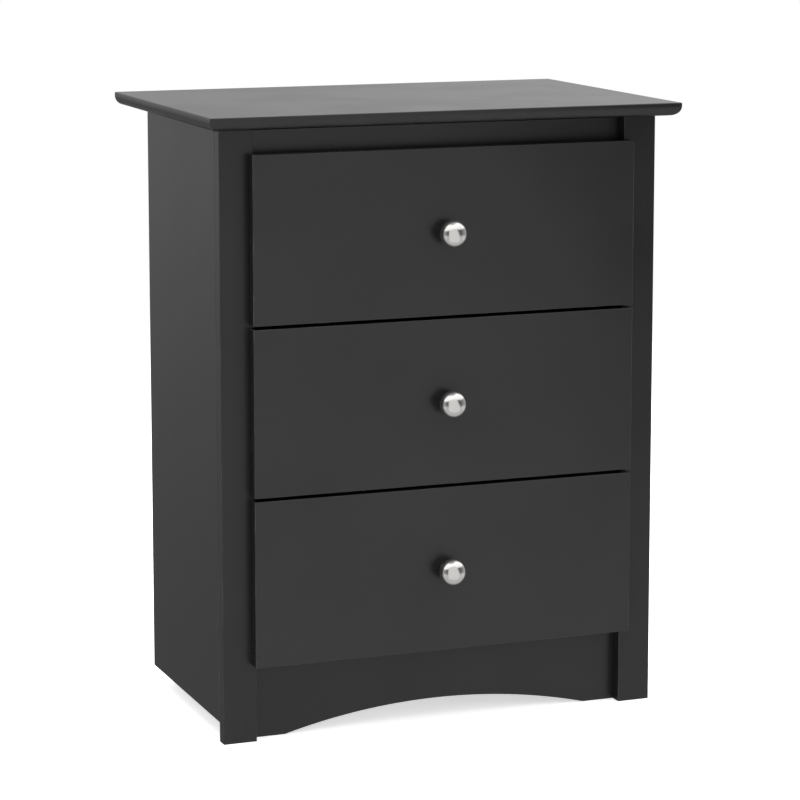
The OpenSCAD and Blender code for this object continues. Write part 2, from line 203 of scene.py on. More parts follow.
def smooth(piece, angle=35):
    """Shades rounds smoothly while the large flat faces stay flat."""
    only(piece)
    bpy.ops.object.shade_smooth_by_angle(angle=math.radians(angle))
    weigh = piece.modifiers.new("flat faces first", "WEIGHTED_NORMAL")
    weigh.keep_sharp = True
    bpy.ops.object.modifier_apply(modifier=weigh.name)


def solids(node):
    """The boxes of the separate solids in a CAD node that groups several."""
    mesh = bmesh.new()
    mesh.from_mesh(frame["nodes"][node].data)
    bmesh.ops.remove_doubles(mesh, verts=mesh.verts, dist=1e-6)
    boxes, left = [], set(mesh.verts)
    while left:
        heap, points = [left.pop()], []
        while heap:
            vertex = heap.pop()
            points.append(vertex.co.copy())
            for edge in vertex.link_edges:
                other = edge.other_vert(vertex)
                if other in left:
                    left.remove(other)
                    heap.append(other)
        boxes.append((Vector(map(min, *points)), Vector(map(max, *points))))
    mesh.free()
    return sorted(boxes, key=lambda box: [round(v, 4) for v in box[0]])


cams = solids("cam_locks")
print("cam fittings in the case", len(cams))

# %% [markdown]
# ## Effects that several finishes share
# A finish is never one flat colour: laminate has a fine stipple, its edges are painted
# lighter, partly as wear where hands and cloths rub them and partly as a painted
# highlight, dust settles on what faces up, and metal keeps the lines of its last tool.
# Each effect is a node group with named inputs, built once and placed in each material
# with that material's own values. A group gives only masks and heights; the shader stays
# in the material.

# %% Helpers for node trees


def place(tree, kind, inputs=(), **settings):
    """A node with its settings made and its inputs set or linked."""
    made = tree.nodes.new(kind)
    for name, value in settings.items():
        setattr(made, name, value)
    for name, value in dict(inputs).items():
        if isinstance(value, bpy.types.NodeSocket):
            tree.links.new(value, made.inputs[name])
        else:
            made.inputs[name].default_value = value
    return made


def arithmetic(tree, operation, a, b=0.0):
    """The result socket of a Math node."""
    return place(tree, "ShaderNodeMath", {0: a, 1: b}, operation=operation).outputs[0]


def times(tree, a, b):
    return arithmetic(tree, "MULTIPLY", a, b)


def plus(tree, a, b):
    return arithmetic(tree, "ADD", a, b)


def noise(tree, where, scale, **more):
    """A noise's grey value; scale is its lumps per metre, more holds its other sockets."""
    return place(tree, "ShaderNodeTexNoise",
                 {"Vector": where, "Scale": scale, **more}).outputs["Fac"]


def between(tree, value, low, high, to_low=0.0, to_high=1.0):
    """The value carried from one range to another, smoothly and clamped."""
    return place(tree, "ShaderNodeMapRange",
                 {"Value": value, "From Min": low, "From Max": high,
                  "To Min": to_low, "To Max": to_high},
                 interpolation_type="SMOOTHSTEP").outputs[0]


def effect(name, inputs, outputs):
    """An empty node group with number inputs {name: value} and number outputs."""
    tree = bpy.data.node_groups.new(name, "ShaderNodeTree")
    for socket, value in inputs.items():
        made = tree.interface.new_socket(name=socket, in_out="INPUT",
                                         socket_type="NodeSocketFloat")
        made.default_value = value
    for socket in outputs:
        tree.interface.new_socket(name=socket, in_out="OUTPUT",
                                  socket_type="NodeSocketFloat")
    given = tree.nodes.new("NodeGroupInput").outputs
    return tree, given, tree.nodes.new("NodeGroupOutput").inputs


# %% [markdown]
# The stipple of a laminate is pressed in by an embossed plate: soft pits about half a
# millimetre apart with a little larger unevenness from the board below. Two noises at
# two sizes give both, and a third and much larger one is a mask for slight differences
# in colour. The same group serves moulded plastic and hardboard with other sizes.

# %% Effect: pressed stipple

WAVES_PER_METRE = 38.0
MOTTLE_PER_METRE = 7.0


def build_stipple():
    tree, given, result = effect("pressed stipple",
                                 {"Pits per metre": 1400.0, "Unevenness": 0.35},
                                 ("Height", "Mottle"))
    where = place(tree, "ShaderNodeTexCoord").outputs["Object"]
    pits = noise(tree, where, given["Pits per metre"], Detail=2.0, Roughness=0.6)
    waves = noise(tree, where, WAVES_PER_METRE, Detail=2.0)
    mottle = noise(tree, where, MOTTLE_PER_METRE, Detail=4.0, Roughness=0.55)
    uneven = times(tree, waves, given["Unevenness"])
    tree.links.new(plus(tree, pits, uneven), result["Height"])
    tree.links.new(between(tree, mottle, 0.3, 0.7), result["Mottle"])
    return tree


stipple = build_stipple()
print(stipple.name, [s.name for s in stipple.interface.items_tree])

# %% [markdown]
# On boards every eased edge is the only place where the surface doesn't face straight
# along an axis, so the normal itself says where an edge is. The mask paints those edges
# lighter, partly as wear and partly as a painted highlight. Noise breaks the mask up,
# because wear is never even.

# %% Effect: edge wear and painted highlight

# The largest part of the normal in the middle of a round edge, and near its flat face
FACING_ROUND = 0.75
FACING_FLAT = 0.97


def build_edge_wear_and_highlight():
    tree, given, result = effect("edge wear and highlight", {"Amount": 0.5}, ("Mask",))
    source = place(tree, "ShaderNodeTexCoord")
    facing = place(tree, "ShaderNodeVectorMath", {0: source.outputs["Normal"]},
                   operation="ABSOLUTE").outputs[0]
    parts = place(tree, "ShaderNodeSeparateXYZ", {0: facing}).outputs
    most = arithmetic(tree, "MAXIMUM", arithmetic(tree, "MAXIMUM", parts[0], parts[1]),
                      parts[2])
    edge = between(tree, most, FACING_ROUND, FACING_FLAT, 1.0, 0.0)
    patches = noise(tree, source.outputs["Object"], 24.0, Detail=5.0, Roughness=0.65)
    broken = between(tree, patches, 0.4, 0.66, 0.25, 1.0)
    # The edge mask: partly wear, partly a painted highlight on the eased edges
    mask = times(tree, times(tree, edge, broken), given["Amount"])
    tree.links.new(mask, result["Mask"])
    return tree


edge_wear_and_highlight = build_edge_wear_and_highlight()
print(edge_wear_and_highlight.name, len(edge_wear_and_highlight.nodes), "nodes")

# %% [markdown]
# Dust lies only where the surface faces up, thinly and in drifts. A fine noise for the
# specks is multiplied by a coarse one for the drifts.

# %% Effect: settled dust

SPECKS_PER_METRE = 900.0
DRIFTS_PER_METRE = 11.0


def build_dust():
    tree, given, result = effect("settled dust", {"Amount": 0.3}, ("Mask",))
    source = place(tree, "ShaderNodeTexCoord")
    up = place(tree, "ShaderNodeSeparateXYZ", {0: source.outputs["Normal"]}).outputs[2]
    flat = between(tree, up, 0.7, 0.98)
    specks = noise(tree, source.outputs["Object"], SPECKS_PER_METRE, Detail=3.0)
    drifts = noise(tree, source.outputs["Object"], DRIFTS_PER_METRE, Detail=4.0)
    thick = times(tree, between(tree, specks, 0.45, 0.7),
                  between(tree, drifts, 0.35, 0.75, 0.2, 1.0))
    mask = times(tree, times(tree, flat, thick), given["Amount"])
    tree.links.new(mask, result["Mask"])
    return tree


dust = build_dust()
print(dust.name, len(dust.nodes), "nodes")

# %% [markdown]
# Wood, fibre board and rolled steel all show lines along one direction, only at
# different sizes. A noise stretched along X, Y or Z gives them: a small number of lines
# per metre along the grain, and a large one across it.

# %% Effect: long grain

BROAD_LINES = 0.13  # broad bands for each fine line


def build_long_grain():
    tree, given, result = effect("long grain",
                                 {"Along X": 900.0, "Along Y": 12.0, "Along Z": 900.0},
                                 ("Height", "Shade"))
    where = place(tree, "ShaderNodeTexCoord").outputs["Object"]
    sizes = place(tree, "ShaderNodeCombineXYZ",
                  {i: given[f"Along {axis}"] for i, axis in enumerate("XYZ")}).outputs[0]
    stretched = place(tree, "ShaderNodeVectorMath", {0: where, 1: sizes},
                      operation="MULTIPLY").outputs[0]
    lines = noise(tree, stretched, 1.0, Detail=4.0, Roughness=0.6, Distortion=0.3)
    broad = noise(tree, stretched, BROAD_LINES, Detail=3.0, Distortion=0.8)
    tree.links.new(lines, result["Height"])
    tree.links.new(between(tree, times(tree, lines, broad), 0.1, 0.42), result["Shade"])
    return tree


long_grain = build_long_grain()
print(long_grain.name, len(long_grain.nodes), "nodes")

# %% [markdown]
# A lathe leaves rings. They follow the shape, so each turned piece carries an attribute
# with every point's distance along its outline, and the rings are a noise of that
# distance alone: the same all the way round, fine and uneven from ring to ring.

# %% Effect: turned rings


def build_turned_rings():
    tree, given, result = effect("turned rings", {"Rings per metre": 4000.0}, ("Height",))
    along = place(tree, "ShaderNodeAttribute", attribute_name="outline").outputs["Fac"]
    ring = times(tree, along, given["Rings per metre"])
    lines = place(tree, "ShaderNodeTexNoise", {"W": ring, "Scale": 1.0, "Detail": 2.0},
                  noise_dimensions="1D").outputs["Fac"]
    tree.links.new(lines, result["Height"])
    return tree


turned_rings = build_turned_rings()
print("effects", [g.name for g in bpy.data.node_groups])

# %% [markdown]
# ## Finishes
# Every finish starts from the same skeleton: two close colours mixed by a mask, a
# roughness that moves a little around its middle value, and a bump. Constants such as
# the metallic value are set straight on the shader.

# %% Skeleton of a finish


def finish(name, metallic=0.0, specular=0.5, **constants):
    """A material with its shader; constants go straight on the shader's own sockets."""
    made = bpy.data.materials.new(name)
    made.use_nodes = True
    tree = made.node_tree
    shader = tree.nodes["Principled BSDF"]
    shader.inputs["Metallic"].default_value = metallic
    shader.inputs["Specular IOR Level"].default_value = specular
    for socket, value in constants.items():
        shader.inputs[socket.replace("_", " ")].default_value = value
    return made, tree, shader.inputs


def use(tree, group, **values):
    """An effect placed in a material with this material's own values."""
    made = place(tree, "ShaderNodeGroup", node_tree=group)
    for name, value in values.items():
        made.inputs[name.replace("_", " ")].default_value = value
    return made.outputs


def mix(tree, mask, first, second):
    """Two colours mixed by a mask; each is a socket or a tuple of red, green and blue."""
    colours = [c if isinstance(c, bpy.types.NodeSocket) else (*c, 1.0)
               for c in (first, second)]
    return place(tree, "ShaderNodeMix", {0: mask, 6: colours[0], 7: colours[1]},
                 data_type="RGBA").outputs[2]


def bump(tree, shader, height, depth):
    """Feeds a height to the shader's normal; depth is in metres."""
    made = place(tree, "ShaderNodeBump", {"Height": height, "Distance": depth,
                                          "Strength": 1.0})
    tree.links.new(made.outputs[0], shader["Normal"])


# %% [markdown]
# Charcoal laminate: a melamine sheet, nearly black and satin, so most of what one sees
# is the sheen of the room on it. Its edges are painted a little lighter, partly as wear
# and partly as a painted highlight, and the top gathers a trace of dust. The edge band is
# a strip of the same colour in plastic, a touch smoother, with a finer stipple. The
# stiles, the rear rail and the kick board are wrapped in foil of the same colour, which
# shines a little less than the sheet on the other boards. The top is pressed in foil too,
# round its milled edge, and its edges get only a trace of that lighter grey, wear and
# painted highlight alike.

# %% Finish: charcoal laminate, its edge band and the frame's foil

CHARCOAL = (0.0074, 0.0072, 0.0075)
CHARCOAL_LIGHT = (0.0094, 0.0092, 0.0096)
# The lighter grey of the edges, partly wear and partly a painted highlight
WEAR_AND_HIGHLIGHT_GREY = (0.15, 0.15, 0.152)
DUST_GREY = (0.34, 0.33, 0.31)
GLOSS_DRIFT = 0.015  # how far the roughness moves from its middle value
DUST_DULLS = 0.5


def build_charcoal(name, pits, middle, depth, wear_and_highlight, sheen=0.5):
    made, tree, shader = finish(name, specular=sheen)
    pressed = use(tree, stipple, Pits_per_metre=pits, Unevenness=0.3)
    wear_and_highlight_mask = use(tree, edge_wear_and_highlight, Amount=wear_and_highlight)["Mask"]
    settled = use(tree, dust, Amount=0.05)["Mask"]
    sheet = mix(tree, pressed["Mottle"], CHARCOAL, CHARCOAL_LIGHT)
    # Edges painted lighter: partly wear, partly a painted highlight
    sheet = mix(tree, wear_and_highlight_mask, sheet, WEAR_AND_HIGHLIGHT_GREY)
    tree.links.new(mix(tree, settled, sheet, DUST_GREY), shader["Base Color"])
    gloss = between(tree, pressed["Mottle"], 0.0, 1.0, middle - GLOSS_DRIFT,
                    middle + GLOSS_DRIFT)
    tree.links.new(plus(tree, gloss, times(tree, settled, DUST_DULLS)), shader["Roughness"])
    bump(tree, shader, pressed["Height"], depth)
    return made


laminate = build_charcoal("charcoal laminate", pits=1500.0, middle=0.29,
                          depth=0.008 * MM, wear_and_highlight=0.5)
edge_band = build_charcoal("charcoal edge band", pits=2600.0, middle=0.26,
                           depth=0.004 * MM, wear_and_highlight=0.6)
frame_foil = build_charcoal("charcoal frame foil", pits=1900.0, middle=0.29,
                            depth=0.007 * MM, wear_and_highlight=0.5, sheen=0.41)
# Hardly any of the lighter edge grey, wear and painted highlight, on the top
top_foil = build_charcoal("charcoal top foil", pits=1500.0, middle=0.29,
                          depth=0.008 * MM, wear_and_highlight=0.04)
print([made.name for made in (laminate, edge_band, frame_foil, top_foil)])

# %% [markdown]
# The drawer boxes are thinner board in a black foil: printed paper with long fine lines
# along the board, duller than laminate and a little warmer. The printed face of the
# drawer bottoms is the same kind of paper.

# %% Finish: foil of the drawer boxes

FOIL_LINES = 9.0  # per metre along the board
BARE_BROWN = (0.10, 0.09, 0.08)


def build_foil(name, dark, light, across, middle):
    made, tree, shader = finish(name, specular=0.42)
    grain = use(tree, long_grain, Along_X=across, Along_Y=FOIL_LINES, Along_Z=across)
    wear_and_highlight_mask = use(tree, edge_wear_and_highlight, Amount=0.5)["Mask"]
    settled = use(tree, dust, Amount=0.08)["Mask"]
    sheet = mix(tree, grain["Shade"], dark, light)
    sheet = mix(tree, wear_and_highlight_mask, sheet, BARE_BROWN)
    tree.links.new(mix(tree, settled, sheet, DUST_GREY), shader["Base Color"])
    tree.links.new(between(tree, grain["Height"], 0.0, 1.0, middle - 0.04, middle + 0.06),
                   shader["Roughness"])
    bump(tree, shader, grain["Height"], 0.01 * MM)
    return made


foil = build_foil("black drawer foil", dark=(0.013, 0.012, 0.012),
                  light=(0.024, 0.022, 0.021), across=520.0, middle=0.40)
printed_hardboard = build_foil("printed hardboard", dark=(0.017, 0.015, 0.015),
                               light=(0.030, 0.027, 0.026), across=900.0, middle=0.48)
print([made.name for made in (foil, printed_hardboard)])

# %% [markdown]
# Hardboard is pressed wood fibre: brown, with short fibres in all directions. The back
# panel shows it raw on the outside.

# %% Finish: raw hardboard

FIBRE_DARK = (0.115, 0.062, 0.031)
FIBRE_LIGHT = (0.20, 0.115, 0.062)
MOTTLE_SHARE = 0.35


def build_hardboard():
    made, tree, shader = finish("raw hardboard", specular=0.3)
    fibres = use(tree, long_grain, Along_X=700.0, Along_Y=700.0, Along_Z=260.0)
    mottle = use(tree, stipple, Pits_per_metre=900.0, Unevenness=0.5)
    colour = mix(tree, fibres["Shade"], FIBRE_DARK, FIBRE_LIGHT)
    colour = mix(tree, times(tree, mottle["Mottle"], MOTTLE_SHARE), colour, FIBRE_DARK)
    tree.links.new(colour, shader["Base Color"])
    tree.links.new(between(tree, fibres["Height"], 0.0, 1.0, 0.55, 0.75),
                   shader["Roughness"])
    bump(tree, shader, mottle["Height"], 0.02 * MM)
    return made


hardboard = build_hardboard()
print(hardboard.name, len(hardboard.node_tree.nodes), "nodes")

# %% [markdown]
# Battens are planed softwood and dowels are beech: the same grain at two scales. The
# battens run front to back, and so do the dowels.

# %% Finish: batten and dowel wood

WOOD_LINES = 6.0  # per metre along the grain


def build_wood(name, dark, light, across):
    made, tree, shader = finish(name, specular=0.35)
    grain = use(tree, long_grain, Along_X=across, Along_Y=WOOD_LINES, Along_Z=across)
    tree.links.new(mix(tree, grain["Shade"], dark, light), shader["Base Color"])
    tree.links.new(between(tree, grain["Height"], 0.0, 1.0, 0.5, 0.7), shader["Roughness"])
    bump(tree, shader, grain["Height"], 0.08 * MM)
    return made


batten_wood = build_wood("planed batten wood", dark=(0.42, 0.26, 0.12),
                         light=(0.66, 0.48, 0.27), across=260.0)
dowel_wood = build_wood("beech dowel", dark=(0.40, 0.25, 0.13),
                        light=(0.62, 0.44, 0.27), across=700.0)
print([made.name for made in (batten_wood, dowel_wood)])

# %% [markdown]
# Satin nickel for the knobs: turned and then plated, so its rings are very fine. Zinc
# for screws and castings: bright with short marks, or dull from the mould.

# %% Finish: nickel and zinc

NICKEL_DARK = (0.70, 0.69, 0.67)
NICKEL_LIGHT = (0.80, 0.79, 0.77)
MARKS_ACROSS = 1500.0  # short marks per metre on a plated or cast face


def build_nickel():
    made, tree, shader = finish("satin nickel", metallic=1.0)
    rings = use(tree, turned_rings, Rings_per_metre=5200.0)["Height"]
    tree.links.new(mix(tree, rings, NICKEL_DARK, NICKEL_LIGHT), shader["Base Color"])
    tree.links.new(between(tree, rings, 0.2, 0.8, 0.15, 0.24), shader["Roughness"])
    bump(tree, shader, rings, 0.004 * MM)
    return made


def build_metal(name, dark, light, smooth, rough, along_y, depth):
    made, tree, shader = finish(name, metallic=1.0)
    lines = use(tree, long_grain, Along_X=MARKS_ACROSS, Along_Y=along_y,
                Along_Z=MARKS_ACROSS)
    cloud = use(tree, stipple, Pits_per_metre=2400.0, Unevenness=0.2)
    tree.links.new(mix(tree, cloud["Mottle"], dark, light), shader["Base Color"])
    tree.links.new(between(tree, lines["Height"], 0.2, 0.8, smooth, rough),
                   shader["Roughness"])
    bump(tree, shader, lines["Height"], depth)
    return made


nickel = build_nickel()
zinc = build_metal("bright zinc", dark=(0.55, 0.56, 0.58), light=(0.68, 0.69, 0.71),
                   smooth=0.30, rough=0.48, along_y=900.0, depth=0.015 * MM)
zinc_casting = build_metal("cast zinc", dark=(0.38, 0.38, 0.39), light=(0.52, 0.52, 0.53),
                           smooth=0.42, rough=0.60, along_y=700.0, depth=0.04 * MM)
print([made.name for made in (nickel, zinc, zinc_casting)])

# %% [markdown]
# Rollers are white nylon, which light enters a little. The runners are steel under a
# white epoxy coat with a faint orange peel. Feet are black plastic with a leathery
# moulded stipple. All three are one recipe with other values.

# %% Finish: nylon, runner coat and foot plastic

RUBBED_LIGHTER = 1.25  # how much lighter a rubbed edge is than the plastic


def build_plastic(name, dark, light, middle, pits, depth, glow=0.0):
    made, tree, shader = finish(name, specular=0.5, Subsurface_Weight=glow,
                                Subsurface_Scale=0.002)
    pressed = use(tree, stipple, Pits_per_metre=pits, Unevenness=0.4)
    wear_and_highlight_mask = use(tree, edge_wear_and_highlight, Amount=0.25)["Mask"]
    colour = mix(tree, pressed["Mottle"], dark, light)
    pale = tuple(min(1, c * RUBBED_LIGHTER) for c in light)
    tree.links.new(mix(tree, wear_and_highlight_mask, colour, pale), shader["Base Color"])
    tree.links.new(between(tree, pressed["Mottle"], 0.0, 1.0, middle - 0.04, middle + 0.05),
                   shader["Roughness"])
    bump(tree, shader, pressed["Height"], depth)
    return made


nylon = build_plastic("white nylon", dark=(0.74, 0.74, 0.70), light=(0.80, 0.80, 0.77),
                      middle=0.38, pits=1200.0, depth=0.008 * MM, glow=0.2)
runner_coat = build_plastic("white epoxy coat", dark=(0.66, 0.66, 0.63),
                            light=(0.73, 0.73, 0.70), middle=0.3, pits=420.0,
                            depth=0.02 * MM)
foot_plastic = build_plastic("black foot plastic", dark=(0.016, 0.016, 0.017),
                             light=(0.026, 0.026, 0.027), middle=0.5, pits=1300.0,
                             depth=0.04 * MM)
print([made.name for made in (nylon, runner_coat, foot_plastic)])

# %% [markdown]
# The record of the CAD model names a finish slot for each node. A table joins each slot
# to its finish, and the CAD nodes whose shape is already right get theirs at once.

# %% Give every CAD node its finish

FINISHES = {
    "charcoal_laminate": laminate, "drawer_board": foil,
    "drawer_hardboard": printed_hardboard, "back_hardboard": hardboard,
    "batten_wood": batten_wood, "dowel_wood": dowel_wood,
    "runner_steel": runner_coat, "white_nylon": nylon, "brushed_nickel": nickel,
    "foot_plastic": foot_plastic, "zinc_screws": zinc, "zinc_fittings": zinc_casting,
}


def dress_cad_nodes():
    for entry in frame["record"]["subparts"]:
        for slot in frame["nodes"][entry["node"]].material_slots:
            slot.material = FINISHES[entry["material_slot"]]


dress_cad_nodes()
print(len(FINISHES), "slots have a finish")

# %% [markdown]
# ## Fitting a piece
# Each finished piece gets the finish of its slot in the record, unless it already has its
# own, and the body that it moves with; the CAD nodes that it stands for are hidden.

# %% Helper that fits a finished piece


def fit(piece, body, slot, *nodes):
    """Dresses the piece, attaches it to its body and hides the CAD nodes it stands for."""
    if not piece.data.materials:
        piece.data.materials.append(FINISHES[slot])
    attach(piece, body)
    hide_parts(*nodes)
    return piece


def ease_and_fit(piece, width, steps, body, slot, *nodes):
    """The last work on a board: its edges eased, its faces shaded, and the piece fitted."""
    ease(piece, width, steps)
    smooth(piece)
    return fit(piece, body, slot, *nodes)


def two_finishes(piece, main, other, test):
    """The first finish all over, and the other on the faces that pass the test."""
    piece.data.materials.append(main)
    piece.data.materials.append(other)
    pick_faces(piece, test)
    piece.active_material_index = 1
    bpy.ops.object.material_slot_assign()
    leave()


def band_edges(piece, thick, sheet=None, band=None):
    """Laminate, with the edge band on every face that isn't along the board's thickness."""
    two_finishes(piece, sheet or laminate, band or edge_band,
                 lambda centre, normal: abs(normal[thick]) < 0.7)


SEAT_PLAY = 0.05 * MM
SEAT_OVER = 0.8 * MM  # how much longer a seat is than the fitting in it


def seat_cams(piece, places):
    """Bores the round seats of the cam fittings that lie in this board."""
    low, high = (Vector(f(v.co[i] for v in piece.data.vertices) for i in range(3))
                 for f in (min, max))
    seats = 0
    for cam_low, cam_high in places:
        centre, size = (cam_low + cam_high) / 2, cam_high - cam_low
        if all(low[i] < centre[i] < high[i] for i in range(3)):
            axis = min(range(3), key=lambda i: size[i])
            cut(piece, drum(centre, max(size) / 2 + SEAT_PLAY, size[axis] + SEAT_OVER, axis))
            seats += 1
    return seats


def joined(name, pieces):
    """Several solids made one piece, as identical fasteners in one bag."""
    bpy.ops.object.select_all(action="DESELECT")
    for piece in pieces:
        piece.select_set(True)
    bpy.context.view_layer.objects.active = pieces[0]
    bpy.ops.object.join()
    pieces[0].name = pieces[0].data.name = name
    return pieces[0]


# %% [markdown]
# ## The top
# The top is one thick-looking board whose edge is milled with two cutters: a small round
# over above, so that the upper edge is kind to the arm, and a large quarter round below,
# so that the board looks thin. The back edge is left square. Bevels on picked edges of a
# blank do what the router does, mitred corners included.

# %% Top board

TOP_UNDER_ROUND = 12 * MM
TOP_UPPER_ROUND = 1.5 * MM
TOP_EASE = 0.5 * MM  # the square back edge and the front corners


def build_top():
    low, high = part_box("top_panel")
    piece = board("top_board", low, high)
    piece.data.materials.append(top_foil)
    back = high.y - MM

    def milled(middle, run):
        return abs(run.z) < 0.5 and middle.y < back

    ease(piece, TOP_UNDER_ROUND, 14, lambda m, r: milled(m, r) and m.z < low.z + MM)
    ease(piece, TOP_UPPER_ROUND, 4, lambda m, r: milled(m, r) and m.z > high.z - MM)
    ease(piece, TOP_EASE, 2, lambda m, r: m.y > back)
    ease(piece, TOP_EASE, 2, lambda m, r: abs(r.z) > 0.9 and m.y < low.y + MM)
    smooth(piece)
    return fit(piece, "case", "charcoal_laminate", "top_panel")


top_board = build_top()
print(top_board.name, len(top_board.data.polygons), "faces")

# %% [markdown]
# ## Sides, stiles and rails
# A side is a plain board with banded edges, a rabbet along its back edge for the back
# panel, and round seats for the cam fittings on its inner face. The stiles in front of
# the sides are narrower boards that reach the floor. A rabbet is a cut with a squared
# tool, a seat is a cut with a drill, and then all edges are eased by half a millimetre:
# on dark furniture those eased edges, catching the light and painted a little lighter
# as wear and as a painted highlight, are the thin light lines that draw its shape.

# %% Sides, stiles, rails and bottom

EASE = 0.7 * MM
RABBET = 6 * MM


def build_side(side):
    low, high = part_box(f"{side}_side_panel")
    back_low, back_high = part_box("back_panel")
    piece = board(f"{side}_side_board", low, high)
    band_edges(piece, 0)
    inner = max(low.x, high.x, key=lambda x: -abs(x))
    outward = math.copysign(RABBET, inner)
    xs = sorted((inner + outward, inner - outward))
    cut(piece, board("rabbet", (xs[0], back_low.y, low.z - MM),
                     (xs[1], high.y + MM, high.z + MM)))
    print(piece.name, "cam seats", seat_cams(piece, cams))
    return ease_and_fit(piece, EASE, 3, "case", "charcoal_laminate", f"{side}_side_panel")


def build_plain_board(node, name, thick, sheet=None):
    """A banded board with its cam seats, as the CAD box says."""
    piece = board(name, *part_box(node))
    band_edges(piece, thick, sheet, sheet)
    seat_cams(piece, cams)
    return ease_and_fit(piece, EASE, 3, "case", "charcoal_laminate", node)


side_boards = [build_side(side) for side in SIDES]
frame_boards = [build_plain_board(f"{side}_front_stile", f"{side}_stile_board", 1,
                                  frame_foil) for side in SIDES]
frame_boards += [build_plain_board("top_front_rail", "front_rail_board", 1),
                 build_plain_board("rear_top_rail", "rear_rail_board", 1, frame_foil),
                 build_plain_board("bottom_panel", "bottom_board", 2)]
print([piece.name for piece in frame_boards])

# %% [markdown]
# ## Kick board
# The kick board closes the front below the drawers. Its lower edge is an arc between two
# flat feet, band-sawn on the real board. Here a very large drum is subtracted: the
# radius follows from the arc's length and its rise.

# %% Kick board

ARCH_RISE = 25 * MM
FOOT_RUN = 40 * MM


def build_kick_board():
    low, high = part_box("kick_board")
    piece = board("arched_kick_board", low, high)
    band_edges(piece, 1, frame_foil, frame_foil)
    stile_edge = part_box("right_front_stile")[0].x
    half = stile_edge - FOOT_RUN
    radius = (half ** 2 + ARCH_RISE ** 2) / (2 * ARCH_RISE)
    cut(piece, drum((0, (low.y + high.y) / 2, low.z + ARCH_RISE - radius), radius,
                    2 * (high.y - low.y), 1, sides=512))
    seat_cams(piece, cams)
    print("arch radius", round(radius / MM), "mm")
    return ease_and_fit(piece, EASE, 3, "case", "charcoal_laminate", "kick_board")


kick_board = build_kick_board()

# %% [markdown]
# ## Drawer fronts
# Three equal fronts lie over the frame. Each is a laminated board with all four edges
# banded and eased, a groove across the back that takes the front edge of the drawer's
# bottom, and a hole for the knob's screw.

# %% Drawer fronts

FRONT_EASE = 1.0 * MM
GROOVE_PLAY = 0.1 * MM
KNOB_SCREW_HOLE = 2.3 * MM


def build_front(drawer):
    low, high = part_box(f"{drawer}_front")
    piece = board(f"{drawer}_front_board", low, high)
    band_edges(piece, 1)
    bottom_low, bottom_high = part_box(f"{drawer}_bottom")
    room = Vector((GROOVE_PLAY, GROOVE_PLAY, GROOVE_PLAY))
    cut(piece, board("groove", bottom_low - room, bottom_high + room))
    middle = (low + high) / 2
    cut(piece, drum(middle, KNOB_SCREW_HOLE, 2 * (high.y - low.y), 1))
    return ease_and_fit(piece, FRONT_EASE, 4, drawer, "charcoal_laminate",
                        f"{drawer}_front")


fronts = [build_front(drawer) for drawer in DRAWERS]
print([piece.name for piece in fronts])

# %% [markdown]
# ## Knobs
# A knob is turned on a lathe: a foot, a waisted neck and a cap like a flattened ball. The
# outline is drawn point by point from the foot to the middle of the face, then spun round
# the axis. Each point's distance along the outline is kept as an attribute, because the
# tool marks follow it.

# %% Helper that turns an outline


def drawn_line(name, points):
    """A chain of edges through the points, drawn with one vertex; stays in edit mode."""
    bpy.ops.object.select_all(action="DESELECT")
    bpy.ops.mesh.primitive_plane_add(size=MM, location=points[0])
    piece = settle(bpy.context.active_object)
    piece.name = piece.data.name = name
    bpy.ops.object.mode_set(mode="EDIT")
    bpy.ops.mesh.select_mode(type="VERT")
    bpy.ops.mesh.select_all(action="SELECT")
    bpy.ops.mesh.merge(type="CENTER")
    for start, end in zip(points, points[1:]):
        bpy.ops.mesh.extrude_vertices_move(TRANSFORM_OT_translate={"value": end - start})
    bpy.ops.mesh.select_all(action="SELECT")
    return piece


def turned(name, outline, centre, axis, steps=72):
    """Spins (radius, distance along the axis) pairs round an axis that starts at centre."""
    centre, axis = Vector(centre), Vector(axis)
    side = axis.orthogonal().normalized()
    piece = drawn_line(name, [centre + side * radius + axis * along
                              for radius, along in outline])
    bpy.ops.mesh.spin(steps=steps, angle=2 * math.pi, center=centre, axis=axis)
    bpy.ops.mesh.select_all(action="SELECT")
    bpy.ops.mesh.remove_doubles(threshold=0.01 * MM)
    bpy.ops.mesh.normals_make_consistent(inside=False)
    leave()
    mark_outline(piece, outline, centre, axis)
    only(piece)
    bpy.ops.object.shade_smooth_by_angle(angle=math.radians(32))
    return piece


def mark_outline(piece, outline, centre, axis):
    """Writes each point's distance along the outline to the attribute "outline"."""
    lengths = [0.0]
    for (r0, a0), (r1, a1) in zip(outline, outline[1:]):
        lengths.append(lengths[-1] + math.hypot(r1 - r0, a1 - a0))
    values = []
    for vertex in piece.data.vertices:
        along = (vertex.co - centre).dot(axis)
        radius = ((vertex.co - centre) - axis * along).length
        nearest = min(range(len(outline)), key=lambda i: math.hypot(
            outline[i][0] - radius, outline[i][1] - along))
        values.append(lengths[nearest])
    piece.data.attributes.new("outline", "FLOAT", "POINT").data.foreach_set("value", values)


def arc(middle_r, middle_a, radius_r, radius_a, start, end, count):
    """Points on a quarter or other part of an ellipse, angles in degrees."""
    turns = [start + (end - start) * i / (count - 1) for i in range(count)]
    return [(middle_r + radius_r * math.cos(math.radians(t)),
             middle_a + radius_a * math.sin(math.radians(t))) for t in turns]


# %% [markdown]
# The knob's outline has four stretches: a small round at the edge of the foot, a hollow
# curve into the neck, the round underside of the cap and its dome. Each is a part of an
# ellipse, so a few radii say it all.

# %% Knobs

KNOB_FOOT = 9 * MM
FOOT_EDGE = 0.4 * MM
FOOT_EDGE_AT = 0.8 * MM
KNOB_NECK = 6.5 * MM
NECK_HOLLOW = 2.4 * MM
NECK_AT = 3.7 * MM
CAP_BACK = 14 * MM
CAP_ROUND = 7 * MM
CAP_DOME = 11 * MM


